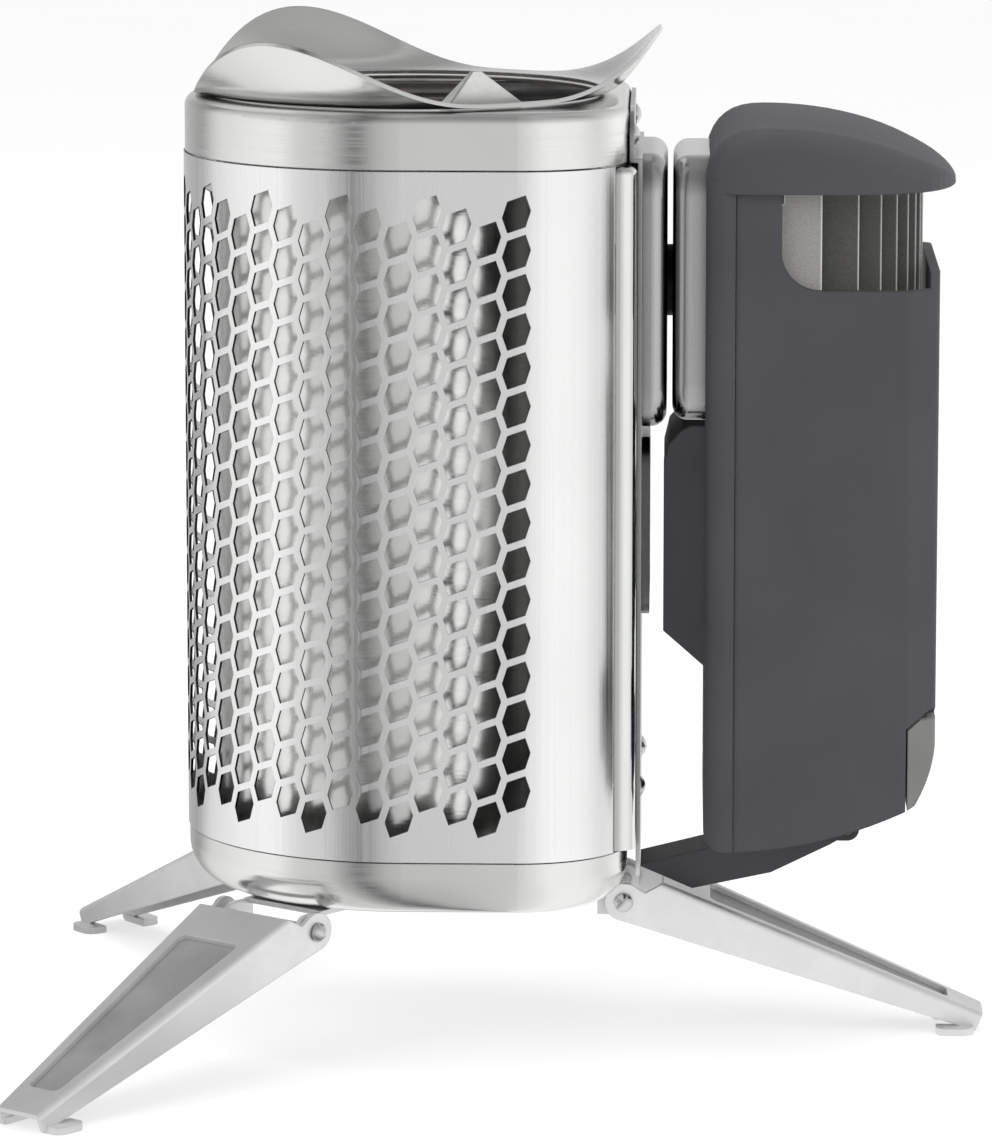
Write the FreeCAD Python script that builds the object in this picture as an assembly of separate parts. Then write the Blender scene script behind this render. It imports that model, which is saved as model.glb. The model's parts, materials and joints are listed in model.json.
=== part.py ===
import FreeCAD
import Part
import math
import os

# Wood-burning camp stove with a clip-on fan and power module, in millimetres.
# Worked out with the burn chamber's axis at X = Y = 0 and the ground at Z = 0; the last step
# moves everything along X so that the origin is the middle of the footprint.
# +X points from the chamber to the power module, +Z is up.

# ---- the can: a D-shaped plan, round in front and flat at the back ----
CAN_RADIUS = 50.0
CAN_BACK_X = 49.6
CAN_CORNER_R = 24.0
SHEET = 0.8
SHELL_PROUD = 0.3
SHELL_EDGE_X = 46.6
PAN_HALF_WIDTH = 37.6
PAN_CORNER_R = 3.6

BASE_BOTTOM_Z = 34.9
BASE_SEAM_Z = 47.8
CAP_SEAM_Z = 200.3
CAP_TOP_Z = 213.0
SEAM_GAP = 0.3
BASE_FILLET = 9.0
CAP_FILLET = 2.5
CAP_OPENING_R = 42.4

# ---- hexagon holes of the heat shell ----
HOLE_COLUMNS = 33
HOLES_PER_COLUMN = 16
HOLE_ROW_PITCH = 8.53
HOLE_COLUMN_PITCH = 6.45
HOLE_FIRST_X = 25.4
HOLE_TOP_Z = 191.2
HOLE_STAGGER = HOLE_ROW_PITCH / 3.0
HOLE_HALF_WIDTH = 3.15
HOLE_HALF_HEIGHT = 4.15
HOLE_SHOULDER = 2.75
HOLE_WAIST = 0.8
HOLE_SLANT_X = 2.0

# ---- chamber inside the can ----
JACKET_R = 43.0
CHAMBER_R = 38.5
INNER_SHEET = 0.6
CHAMBER_FLOOR_Z = 62.0
CHAMBER_TOP_Z = 207.0
JET_HOLE_R = 2.2
JETS_PER_ROW = 16

# ---- wavy pot stand ----
STAND_INNER_R = 43.2
STAND_SEAT_Z = 213.15
STAND_SHEET = 0.9
STAND_RIM_VALLEY_R = 47.5
STAND_RIM_CREST_R = 56.7
STAND_RIM_VALLEY_Z = 213.5
STAND_RIM_CREST_Z = 227.3
STAND_CREST_SHARPNESS = 1.8
STAND_LOBES = 3
STAND_STEPS = 16
TAB_TOP_Z = 220.6
TAB_LEFT = 10.5
TAB_RIGHT = 18.5
TAB_SHEET = 1.0
TAB_R = 37.0
TAB_TURN = 26.0

# ---- mounting plate on the flat back ----
PLATE_X = 51.5
PLATE_SHEET = 1.0
PLATE_OUT_X = PLATE_X + PLATE_SHEET
PLATE_HALF_WIDTH = 30.0
PLATE_BOTTOM_Z = 40.0
PLATE_TOP_Z = 212.0
PLATE_STEP_Z = 201.3
PLATE_HIGH_X = CAN_BACK_X + 0.1
PROBE_BOX_OUT_X = 58.0
PROBE_BOX_HALF_WIDTH = 27.0
PROBE_BOX_Z = (140.5, 201.3)
INLET_HALF_WIDTH = 16.0
INLET_Z = (98.0, 136.0)
RIVET_Y = 23.5
RIVET_HIGH_Z = 206.0
RIVET_LOW_Z = 60.0
RIVET_R = 1.35
RIVET_HOLE_R = 1.4

# ---- folding legs ----
LEG_ANGLES = {"leg_module_side": 0.0, "leg_far_left": 128.0, "leg_near_left": -128.0}
LEG_PIVOT_R = {"leg_module_side": 48.8, "leg_far_left": 48.3, "leg_near_left": 48.3}
LEG_PIVOT_Z = 31.3
LEG_SLOPE = 23.34
LEG_SHEET = 1.2
LEG_PLATE_START = 6.6
LEG_PLATE_END = 85.6
LEG_PLATE_LIFT = 7.5
LEG_HALF_WIDTH_IN = 13.6
LEG_HALF_WIDTH_OUT = 6.6
LEG_EYE_R = 4.3
LEG_TIP_DEPTH = 4.3
SLOT_X = (18.0, 77.0)
SLOT_SHARE = (0.68, 0.58)
PIN_R = 1.5
PIN_HOLE_R = 1.55
PIN_HEAD_R = 2.1
PIN_HEAD_Y = 14.4

# ---- power module ----
MODULE_HALF_WIDTH = 34.3
FRONT_HALF_WIDTH = 33.7
MODULE_BACK_X = 66.5
MODULE_PARTING_X = 73.1
MODULE_FRONT_X = 118.0
MODULE_CHAMFER_X = 111.3
MODULE_CHAMFER_Y = 28.0
MODULE_BOTTOM_Z = 47.0
MODULE_NOSE_X = 113.4
MODULE_NOSE_TOP_Z = 76.0
MODULE_VISOR_Z = 193.9
MODULE_WALL = 2.2
VENT_X = 83.1
VENT_Z = 172.6
VENT_LIP_Z = 176.3
VENT_CORNER_R = 8.5
BOSS_OUT_X = 57.4
BOSS_HALF_WIDTH = 22.0
BOSS_Z = (87.0, 141.0)
SHROUD_OUT_X = 59.2
SHROUD_HALF_WIDTH = 27.0
SHROUD_Z = (142.0, 201.0)
PROBE_Z = 171.0
PROBE_R = 8.0
CELL_Z = (151.5, 190.5)
FAN_Z = 115.0
FAN_R = 18.5
DOOR_X = 111.7
DOOR_SIDE_TOP_Z = 74.6
DOOR_GAP = 0.4
DOOR_SKIN = 2.0
DOOR_HINGE_X = MODULE_FRONT_X - 1.2
DOOR_HINGE_Z = 78.4
DOOR_HINGE_R = 1.1
DOOR_PIN_R = 0.7
DOOR_KNUCKLE_Y = (21.4, 24.6)
SOCKET_X = (100.6, 112.4)
SOCKET_Z = (60.8, 67.2)
FIN_OUTER_Y = 30.7
FIN_COUNT = 16
FIN_SHEET = 1.0
HOOD_TIP_X = 122.2
HOOD_TOP_Z = 208.8
HOOD_HALF_WIDTH = 35.3
HOOD_CROWN_X = 80.0
HOOD_SHOULDER_Z = 195.0
HOOD_TIP_Z = 195.0
HOOD_STEPS = 28
BUTTON_Z = {"power": 126.0, "mode": 138.0}
BUTTON_R = 4.0
ARM_PIVOT_X = 99.0
ARM_PIVOT_Z = 48.4
ARM_HALF_WIDTH = 8.0
LUG_Y = (8.3, 10.8)
LUG_R = 2.8
LATCH_Y = (-13.8, -11.0)

UP = FreeCAD.Vector(0, 0, 1)
ALONG_X = FreeCAD.Vector(1, 0, 0)
ALONG_Y = FreeCAD.Vector(0, 1, 0)


def vec(x, y, z):
    return FreeCAD.Vector(x, y, z)


def block(x_span, y_span, z_span):
    """Box between three pairs of limits."""
    size = [span[1] - span[0] for span in (x_span, y_span, z_span)]
    return Part.makeBox(size[0], size[1], size[2], vec(x_span[0], y_span[0], z_span[0]))


def rod(start, axis, radius, length):
    return Part.makeCylinder(radius, length, start, axis)


def prism_y(points_xz, half_width):
    """Solid with an X-Z outline, centred on Y = 0."""
    loop = [vec(x, -half_width, z) for x, z in points_xz]
    face = Part.Face(Part.makePolygon(loop + [loop[0]]))
    return face.extrude(vec(0, 2 * half_width, 0))


def prism_z(points_xy, z_low, z_high):
    loop = [vec(x, y, z_low) for x, y in points_xy]
    face = Part.Face(Part.makePolygon(loop + [loop[0]]))
    return face.extrude(vec(0, 0, z_high - z_low))


def rounded_block(x_span, y_span, z_span, radius, axis):
    """Box whose four edges along one axis are rounded."""
    solid = block(x_span, y_span, z_span)
    edges = [e for e in solid.Edges if abs(abs(e.tangentAt(e.FirstParameter).dot(axis)) - 1) < 1e-6]
    return solid.makeFillet(radius, edges)


def fillet_level(solid, z, radius):
    """Round every edge lying in one horizontal plane."""
    edges = [e for e in solid.Edges if abs(e.BoundBox.ZMin - z) < 1e-4 and abs(e.BoundBox.ZMax - z) < 1e-4]
    return solid.makeFillet(radius, edges)


def can_solid(inset, z_low, z_high):
    """The can's D-shaped plan, moved inwards by inset and raised between two levels."""
    r = CAN_RADIUS - inset
    back = CAN_BACK_X - inset
    corner = CAN_CORNER_R - inset
    turn = corner * (1 - math.sqrt(0.5))
    side_end = back - corner
    z = z_low
    edges = [
        Part.Arc(vec(0, r, z), vec(-r, 0, z), vec(0, -r, z)).toShape(),
        Part.makeLine(vec(0, -r, z), vec(side_end, -r, z)),
        Part.Arc(vec(side_end, -r, z), vec(back - turn, -r + turn, z), vec(back, -r + corner, z)).toShape(),
        Part.makeLine(vec(back, -r + corner, z), vec(back, r - corner, z)),
        Part.Arc(vec(back, r - corner, z), vec(back - turn, r - turn, z), vec(side_end, r, z)).toShape(),
        Part.makeLine(vec(side_end, r, z), vec(0, r, z)),
    ]
    return Part.Face(Part.Wire(edges)).extrude(vec(0, 0, z_high - z_low))


def tube(radius, wall, z_low, z_high):
    outer = rod(vec(0, 0, z_low), UP, radius, z_high - z_low)
    inner = rod(vec(0, 0, z_low - 1), UP, radius - wall, z_high - z_low + 2)
    return outer.cut(inner)


def dome(base, axis, radius, height):
    """Low domed rivet head standing on a point."""
    sphere_r = (radius * radius + height * height) / (2 * height)
    sphere = Part.makeSphere(sphere_r, base + axis * (height - sphere_r))
    return sphere.common(rod(base, axis, radius * 1.01, height * 1.01))


# ------------------------------------------------------------ can and chamber


def shell_hole(distance, z):
    """Hexagonal punch at a distance round the can, counted from X = 0 on the near side."""
    half_turn = math.pi * CAN_RADIUS
    outline = [
        (-HOLE_HALF_WIDTH, -HOLE_WAIST),
        (-HOLE_SLANT_X, HOLE_SHOULDER),
        (HOLE_SLANT_X, HOLE_HALF_HEIGHT),
        (HOLE_HALF_WIDTH, HOLE_WAIST),
        (HOLE_SLANT_X, -HOLE_SHOULDER),
        (-HOLE_SLANT_X, -HOLE_HALF_HEIGHT),
    ]
    loop = [vec(x, -CAN_RADIUS - 2.0, z + dz) for x, dz in outline]
    punch = Part.Face(Part.makePolygon(loop + [loop[0]])).extrude(vec(0, 4.0, 0))
    if distance >= 0:
        punch.translate(vec(distance, 0, 0))
        return punch
    angle = min(-distance / CAN_RADIUS, math.pi)
    punch.rotate(vec(0, 0, 0), UP, -math.degrees(angle))
    if -distance > half_turn:
        punch.translate(vec(-distance - half_turn, 0, 0))
    return punch


def heat_shell():
    """Perforated sheet wrapped round the can from one back corner to the other."""
    low = BASE_SEAM_Z
    high = CAP_SEAM_Z
    shell = can_solid(-SHELL_PROUD, low, high).cut(can_solid(SHELL_PROUD, low - 1, high + 1))
    shell = shell.cut(block((SHELL_EDGE_X, 60), (-60, 60), (low - 1, high + 1)))
    punches = []
    for column in range(HOLE_COLUMNS):
        distance = HOLE_FIRST_X - column * HOLE_COLUMN_PITCH
        drop = (0, 2, 1)[column % 3] * HOLE_STAGGER
        for row in range(HOLES_PER_COLUMN):
            punches.append(shell_hole(distance, HOLE_TOP_Z - drop - row * HOLE_ROW_PITCH))
    return shell.cut(Part.makeCompound(punches))


def rear_panel():
    """Bright drawn pan that closes the back between the shell's two edges."""
    low = BASE_SEAM_Z + SEAM_GAP
    high = CAP_SEAM_Z - SEAM_GAP
    outer_x = PLATE_X - 0.1
    pan = rounded_block((20, outer_x), (-PAN_HALF_WIDTH, PAN_HALF_WIDTH), (low, high), PAN_CORNER_R, UP)
    half = PAN_HALF_WIDTH - SHEET
    inner_x = (20, outer_x - SHEET)
    hollow = rounded_block(inner_x, (-half, half), (low - 1, high - SHEET), PAN_CORNER_R - SHEET, UP)
    pan = fillet_level(pan, high, 1.6).cut(hollow)
    pan = pan.cut(block((0, SHELL_EDGE_X + 0.1), (-60, 60), (low - 1, high + 1)))
    pan = pan.cut(rod(vec(40, 0, PROBE_Z), ALONG_X, PROBE_R + 2, 20))
    pan = pan.cut(inlet_window(40, 60, 0.0))
    for side in (-1, 1):
        pan = pan.cut(rod(vec(45, side * RIVET_Y, RIVET_LOW_Z), ALONG_X, RIVET_HOLE_R, 20))
    return pan


def top_cap():
    """Drawn cap ring over the shell, with the round opening of the chamber."""
    low = CAP_SEAM_Z + SEAM_GAP
    cap = fillet_level(can_solid(0, low, CAP_TOP_Z), CAP_TOP_Z, CAP_FILLET)
    hollow = can_solid(SHEET, low - 2, CAP_TOP_Z - SHEET)
    hollow = fillet_level(hollow, CAP_TOP_Z - SHEET, CAP_FILLET - SHEET)
    cap = cap.cut(hollow)
    cap = cap.cut(rod(vec(0, 0, low), UP, CAP_OPENING_R, 20))
    for side in (-1, 1):
        cap = cap.cut(rod(vec(45, side * RIVET_Y, RIVET_HIGH_Z), ALONG_X, RIVET_HOLE_R, 20))
    return cap


def base_cap():
    """Drawn pan under the shell."""
    high = BASE_SEAM_Z - SEAM_GAP
    pan = fillet_level(can_solid(0, BASE_BOTTOM_Z, high), BASE_BOTTOM_Z, BASE_FILLET)
    floor_z = BASE_BOTTOM_Z + SHEET
    hollow = fillet_level(can_solid(SHEET, floor_z, high + 2), floor_z, BASE_FILLET - SHEET)
    return pan.cut(hollow)


def air_jacket():
    """Bright inner cylinder seen through the shell's holes."""
    jacket = tube(JACKET_R, INNER_SHEET, BASE_BOTTOM_Z + 3.0, CHAMBER_TOP_Z)
    jacket = jacket.cut(rod(vec(30, 0, PROBE_Z), ALONG_X, PROBE_R + 1.5, 20))
    return jacket.cut(inlet_window(30, 50, -2.0))


def burn_chamber():
    """Inner wall of the fire, with rings of air jets low down and near the top."""
    wall = tube(CHAMBER_R, INNER_SHEET, CHAMBER_FLOOR_Z, CHAMBER_TOP_Z)
    drills = []
    for z in (CHAMBER_FLOOR_Z + 10, CHAMBER_TOP_Z - 18, CHAMBER_TOP_Z - 9):
        for jet in range(JETS_PER_ROW):
            angle = 2 * math.pi * (jet + 0.5) / JETS_PER_ROW
            outward = vec(math.cos(angle), math.sin(angle), 0)
            drills.append(rod(outward * 34 + vec(0, 0, z), outward, JET_HOLE_R, 8))
    drills.append(rod(vec(30, 0, PROBE_Z), ALONG_X, PROBE_R + 1, 20))
    return wall.cut(Part.makeCompound(drills))


def chamber_rim():
    """Flat ring joining the chamber's wall to the jacket."""
    ring = rod(vec(0, 0, CHAMBER_TOP_Z), UP, JACKET_R, SHEET)
    return ring.cut(rod(vec(0, 0, CHAMBER_TOP_Z - 1), UP, CHAMBER_R - INNER_SHEET, 4))


def fire_grate():
    """Pierced disc the fire lies on."""
    disc = rod(vec(0, 0, CHAMBER_FLOOR_Z), UP, CHAMBER_R - INNER_SHEET - 0.2, 1.0)
    drills = [rod(vec(0, 0, CHAMBER_FLOOR_Z - 1), UP, 3.0, 3)]
    for radius, count in ((14.0, 8), (27.0, 16)):
        for k in range(count):
            angle = 2 * math.pi * k / count
            centre = vec(radius * math.cos(angle), radius * math.sin(angle), CHAMBER_FLOOR_Z - 1)
            drills.append(rod(centre, UP, 2.5, 3))
    return disc.cut(Part.makeCompound(drills))


def inlet_window(x_low, x_high, grow):
    """Rounded window for the fan's air, larger all round by grow."""
    half = INLET_HALF_WIDTH + grow
    z_span = (INLET_Z[0] - grow, INLET_Z[1] + grow)
    return rounded_block((x_low, x_high), (-half, half), z_span, 6.0, ALONG_X)


def mounting_plate():
    """Plate riveted to the back, stepped in under the cap, with a probe box and an air inlet."""
    half = PLATE_HALF_WIDTH
    s = PLATE_SHEET
    low_z = (PLATE_BOTTOM_Z, PLATE_STEP_Z + 4)
    plate = rounded_block((PLATE_X, PLATE_OUT_X), (-half, half), low_z, 4.0, ALONG_X)
    plate = plate.cut(block((40, 60), (-60, 60), (PLATE_STEP_Z, 250)))
    high_z = (PLATE_STEP_Z - 8, PLATE_TOP_Z)
    high = rounded_block((PLATE_HIGH_X, PLATE_HIGH_X + s), (-half, half), high_z, 7.0, ALONG_X)
    high = high.cut(block((40, 60), (-60, 60), (150, PLATE_STEP_Z - s)))
    step = block((PLATE_HIGH_X, PLATE_OUT_X), (-half, half), (PLATE_STEP_Z - s, PLATE_STEP_Z))
    w = PROBE_BOX_HALF_WIDTH
    outer = rounded_block((PLATE_X, PROBE_BOX_OUT_X), (-w, w), PROBE_BOX_Z, 9.0, ALONG_X)
    rim = [e for e in outer.Edges if e.BoundBox.XMin > PROBE_BOX_OUT_X - 1e-4]
    outer = outer.makeFillet(3.5, rim)
    hollow_z = (PROBE_BOX_Z[0] + s, PROBE_BOX_Z[1] - s)
    hollow = rounded_block((PLATE_X - 1, PROBE_BOX_OUT_X - s), (-w + s, w - s), hollow_z, 8.0, ALONG_X)
    floor = [e for e in hollow.Edges if e.BoundBox.XMin > PROBE_BOX_OUT_X - s - 1e-4]
    hollow = hollow.makeFillet(3.5 - s, floor)
    lip = inlet_window(PLATE_X, PLATE_OUT_X + 1.8, 1.0)
    plate = plate.fuse([high, step, outer, lip]).cut(hollow)
    plate = plate.cut(inlet_window(PLATE_X - 1, 60, 0.0))
    plate = plate.cut(rod(vec(45, 0, PROBE_Z), ALONG_X, PROBE_R + 0.8, 20))
    for side in (-1, 1):
        for z in (RIVET_HIGH_Z, RIVET_LOW_Z):
            plate = plate.cut(rod(vec(45, side * RIVET_Y, z), ALONG_X, RIVET_HOLE_R, 20))
    return plate.removeSplitter()


def plate_rivets():
    """Four domed rivets holding the mounting plate."""
    levels = (
        (RIVET_HIGH_Z, CAN_BACK_X - SHEET, PLATE_HIGH_X + PLATE_SHEET),
        (RIVET_LOW_Z, PLATE_X - 0.1 - SHEET, PLATE_OUT_X),
    )
    rivets = []
    for side in (-1, 1):
        for z, inner_x, outer_x in levels:
            foot = vec(inner_x, side * RIVET_Y, z)
            shank = rod(foot, ALONG_X, RIVET_R, outer_x - inner_x)
            head = dome(vec(outer_x, side * RIVET_Y, z), ALONG_X, 2.4, 1.2)
            tail = rod(foot - ALONG_X * 0.8, ALONG_X, 2.2, 0.8)
            rivets.append(shank.fuse([head, tail]).removeSplitter())
    return Part.makeCompound(rivets)


# ------------------------------------------------------------ pot stand


def stand_rim(angle):
    """Radius and height of the stand's outer edge: a crest for each lobe."""
    wave = 0.5 + 0.5 * math.cos(STAND_LOBES * angle)
    radius = STAND_RIM_VALLEY_R + (STAND_RIM_CREST_R - STAND_RIM_VALLEY_R) * wave
    peak = wave ** STAND_CREST_SHARPNESS
    height = STAND_RIM_VALLEY_Z + (STAND_RIM_CREST_Z - STAND_RIM_VALLEY_Z) * peak
    return radius, height


def stand_section(angle):
    """Closed cross-section of the dished ring at one angle."""
    rim_r, rim_z = stand_rim(angle)
    direction = vec(math.cos(angle), math.sin(angle), 0)
    lower = []
    upper = []
    for k in range(5):
        t = k / 4
        radius = STAND_INNER_R + (rim_r - STAND_INNER_R) * t
        height = STAND_SEAT_Z + (rim_z - STAND_SEAT_Z) * t * t * (1.6 - 0.6 * t)
        lower.append(direction * radius + UP * height)
        upper.append(direction * (radius - 0.4 * STAND_SHEET * t) + UP * (height + STAND_SHEET))
    under = Part.BSplineCurve()
    under.interpolate(lower)
    over = Part.BSplineCurve()
    over.interpolate(upper[::-1])
    rim = Part.makeLine(lower[-1], upper[-1])
    inner = Part.makeLine(upper[0], lower[0])
    return Part.Wire([under.toShape(), rim, over.toShape(), inner])


def pot_stand():
    """Three-lobed wavy ring that carries the pot."""
    lobe_turn = 2 * math.pi / STAND_LOBES
    sections = [stand_section(lobe_turn * k / STAND_STEPS) for k in range(STAND_STEPS + 1)]
    lobe = Part.makeLoft(sections, True, False)
    lobes = []
    for k in range(STAND_LOBES):
        turned = lobe.copy()
        turned.rotate(vec(0, 0, 0), UP, 360.0 / STAND_LOBES * k)
        lobes.append(turned)
    return lobes[0].fuse(lobes[1:])


def pot_stand_tab():
    """Small folded triangular tab standing on the chamber's rim at the near side."""
    height = TAB_TOP_Z - CHAMBER_TOP_Z - SHEET
    broad = prism_y([(-TAB_LEFT, 0), (TAB_RIGHT, 0), (1.0, height), (-1.0, height)], TAB_SHEET / 2)
    low = vec(-TAB_LEFT, 0, 0)
    peak = vec(-1.0, 0, height)
    corner = vec(-TAB_LEFT - 2.5, 3.5, 0)
    normal = (peak - low).cross(corner - low)
    normal.normalize()
    narrow = Part.Face(Part.makePolygon([low, peak, corner, low])).extrude(normal * TAB_SHEET)
    narrow.translate(normal * (-TAB_SHEET / 2))
    foot = block((-TAB_LEFT + 3, TAB_LEFT), (-4.0, TAB_SHEET / 2), (0, TAB_SHEET))
    below = block((-30, 30), (-10, 10), (-3, 0))
    tab = broad.fuse([narrow, foot]).cut(below)
    tab.translate(vec(0, -TAB_R, CHAMBER_TOP_Z + SHEET))
    tab.rotate(vec(0, 0, 0), UP, TAB_TURN)
    return tab.removeSplitter()


# ------------------------------------------------------------ legs


def leg_profile_at(x):
    """Half width of the leg at a distance from its pivot."""
    taper = (LEG_HALF_WIDTH_IN - LEG_HALF_WIDTH_OUT) / (LEG_PLATE_END - LEG_PLATE_START)
    return LEG_HALF_WIDTH_IN - taper * (x - LEG_PLATE_START)


def leg_envelope(inset, z_low, z_high):
    """Tapered block over the leg's whole plan."""
    near = -LEG_EYE_R - 1
    points = [
        (near, -leg_profile_at(near) + inset),
        (LEG_PLATE_END, -leg_profile_at(LEG_PLATE_END) + inset),
        (LEG_PLATE_END, leg_profile_at(LEG_PLATE_END) - inset),
        (near, leg_profile_at(near) - inset),
    ]
    return prism_z(points, z_low, z_high)


def leg_side_outline():
    """Side view of the flanges, measured along the plate, with the eye round the pivot."""
    lift = LEG_PLATE_LIFT
    foot = lift - LEG_TIP_DEPTH
    body = [
        (0, -LEG_EYE_R),
        (LEG_PLATE_END, foot),
        (LEG_PLATE_END, lift),
        (LEG_PLATE_START, lift),
        (3.6, LEG_EYE_R - 0.6),
        (0, LEG_EYE_R),
    ]
    outline = prism_y(body, 20)
    return outline.fuse(rod(vec(0, -20, 0), ALONG_Y, LEG_EYE_R, 40))


def leg_slot():
    """Long tapered window in the leg's plate."""
    near_x, far_x = SLOT_X
    near_w = leg_profile_at(near_x) * SLOT_SHARE[0]
    far_w = leg_profile_at(far_x) * SLOT_SHARE[1]
    slot = prism_z([(near_x, -near_w), (far_x, -far_w), (far_x, far_w), (near_x, near_w)], 0, 20)
    uprights = [e for e in slot.Edges if e.BoundBox.ZLength > 10]
    return slot.makeFillet(1.8, uprights)


def leg_solid():
    """One leg along +X with its pivot at the origin, plate sloping down to the foot."""
    body = leg_envelope(0, -10, LEG_PLATE_LIFT).common(leg_side_outline())
    plate_edges = [
        e
        for e in body.Edges
        if e.BoundBox.ZMin > LEG_PLATE_LIFT - 1e-4 and e.BoundBox.XLength > 40
    ]
    body = body.makeFillet(1.5, plate_edges)
    hollow = leg_envelope(LEG_SHEET, -20, LEG_PLATE_LIFT - LEG_SHEET)
    body = body.cut(hollow)
    body = body.cut(block((-10, LEG_PLATE_START), (-11.5, 11.5), (-10, 10)))
    body = body.cut(leg_slot())
    body = body.cut(rod(vec(0, -20, 0), ALONG_Y, PIN_HOLE_R, 40))
    body.rotate(vec(0, 0, 0), ALONG_Y, LEG_SLOPE)
    tilt = math.radians(LEG_SLOPE)
    foot_x = LEG_PLATE_END * math.cos(tilt) + (LEG_PLATE_LIFT - LEG_TIP_DEPTH) * math.sin(tilt)
    for side in (-1, 1):
        inner = leg_profile_at(LEG_PLATE_END) - LEG_SHEET
        y_span = sorted((side * inner, side * (inner + 5.2)))
        pad = block((foot_x - 9.0, foot_x - 0.5), y_span, (-LEG_PIVOT_Z, -LEG_PIVOT_Z + 1.6))
        outer_y = side * (inner + 5.2)
        corners = [e for e in pad.Edges if e.BoundBox.ZLength > 1 and abs(e.BoundBox.YMin - outer_y) < 1e-4]
        body = body.fuse(pad.makeFillet(2.5, corners))
    return body.removeSplitter()


def leg_inlay():
    """Thin panel fixed under the leg's plate, seen through the window."""
    margin = 1.0
    near_x = SLOT_X[0] - margin
    far_x = SLOT_X[1] + margin
    near_w = leg_profile_at(near_x) * SLOT_SHARE[0] + margin
    far_w = leg_profile_at(far_x) * SLOT_SHARE[1] + margin
    top = LEG_PLATE_LIFT - LEG_SHEET
    panel = prism_z([(near_x, -near_w), (far_x, -far_w), (far_x, far_w), (near_x, near_w)], top - 0.8, top)
    panel.rotate(vec(0, 0, 0), ALONG_Y, LEG_SLOPE)
    return panel


def place_leg(name, solid):
    solid.translate(vec(LEG_PIVOT_R[name], 0, LEG_PIVOT_Z))
    solid.rotate(vec(0, 0, 0), UP, LEG_ANGLES[name])
    return solid


def leg_brackets():
    """Three folded brackets under the base, each with two ears for a leg's pin."""
    brackets = []
    lift = BASE_BOTTOM_Z - LEG_PIVOT_Z
    for name in LEG_ANGLES:
        bracket = block((-14, -4.5), (-11.4, 11.4), (lift - 1.1, lift))
        for side in (-1, 1):
            y_span = sorted((side * 10.2, side * 11.4))
            ear = block((-6, 0), y_span, (-3.4, lift))
            eye = rod(vec(0, y_span[0], 0), ALONG_Y, 3.4, 1.2)
            bracket = bracket.fuse([ear, eye])
        above_eye = block((-4.2, 6), (-20, 20), (lift - 0.2, lift + 5))
        bracket = bracket.cut(above_eye)
        bracket = bracket.cut(rod(vec(0, -20, 0), ALONG_Y, PIN_R, 40))
        brackets.append(place_leg(name, bracket.removeSplitter()))
    return Part.makeCompound(brackets)


def leg_pins():
    """Pivot rivets with domed heads."""
    pins = []
    for name in LEG_ANGLES:
        pin = rod(vec(0, -PIN_HEAD_Y, 0), ALONG_Y, PIN_R, 2 * PIN_HEAD_Y)
        for side in (-1, 1):
            direction = ALONG_Y * side
            start = direction * PIN_HEAD_Y
            collar = rod(start, direction, PIN_HEAD_R, 0.5)
            pin = pin.fuse([collar, dome(start + direction * 0.5, direction, PIN_HEAD_R, 1.1)])
        pins.append(place_leg(name, pin.removeSplitter()))
    return Part.makeCompound(pins)


# ------------------------------------------------------------ power module


def module_bottom_z(x):
    """Height of the module's underside, which sweeps up towards the nose."""
    run = x - MODULE_PARTING_X
    return MODULE_BOTTOM_Z + 0.03 * run + 0.0057 * run * run


def module_side(inset, half_width):
    """Slab with the front housing's side outline: swept underside and rounded nose."""
    y = -half_width
    front = MODULE_FRONT_X - inset
    nose = MODULE_NOSE_X - inset * 0.5
    mid_x = (MODULE_PARTING_X + nose) / 2
    back_low = vec(MODULE_PARTING_X, y, MODULE_BOTTOM_Z + inset)
    mid_low = vec(mid_x, y, module_bottom_z(mid_x) + inset)
    nose_low = vec(nose, y, module_bottom_z(nose) + inset)
    nose_mid = vec(front - 1.6, y, 63.5 + inset)
    nose_top = vec(front, y, MODULE_NOSE_TOP_Z)
    front_top = vec(front, y, MODULE_VISOR_Z)
    back_top = vec(MODULE_PARTING_X, y, MODULE_VISOR_Z)
    edges = [
        Part.Arc(back_low, mid_low, nose_low).toShape(),
        Part.Arc(nose_low, nose_mid, nose_top).toShape(),
        Part.makeLine(nose_top, front_top),
        Part.makeLine(front_top, back_top),
        Part.makeLine(back_top, back_low),
    ]
    return Part.Face(Part.Wire(edges)).extrude(vec(0, 2 * half_width, 0))


def front_block(inset):
    """Front housing's outer form, moved inwards by inset."""
    half = FRONT_HALF_WIDTH - inset
    front = MODULE_FRONT_X - inset
    chamfer_x = MODULE_CHAMFER_X - inset * 0.6
    chamfer_y = MODULE_CHAMFER_Y - inset * 0.5
    plan = [
        (MODULE_PARTING_X, -half),
        (chamfer_x, -half),
        (front, -chamfer_y),
        (front, chamfer_y),
        (chamfer_x, half),
        (MODULE_PARTING_X, half),
    ]
    slab = prism_z(plan, 30, MODULE_VISOR_Z - inset)
    corners = [e for e in slab.Edges if e.BoundBox.ZLength > 60 and e.BoundBox.XMin > MODULE_PARTING_X + 5]
    return slab.makeFillet(3.0 - inset, corners).common(module_side(inset, 50))


def door_region(gap):
    """Space of the port door: the module's nose, under a line that rises to the hinge."""
    low_x = DOOR_X - gap
    outline = [
        (low_x, 30),
        (130, 30),
        (130, DOOR_HINGE_Z + gap),
        (DOOR_HINGE_X, DOOR_HINGE_Z + gap),
        (low_x, DOOR_SIDE_TOP_Z + gap),
    ]
    return prism_y(outline, 50)


def door_hinge_rod(radius, y_low, y_high):
    """Round bar on the port door's hinge axis."""
    return rod(vec(DOOR_HINGE_X, y_low, DOOR_HINGE_Z), ALONG_Y, radius, y_high - y_low)


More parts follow.
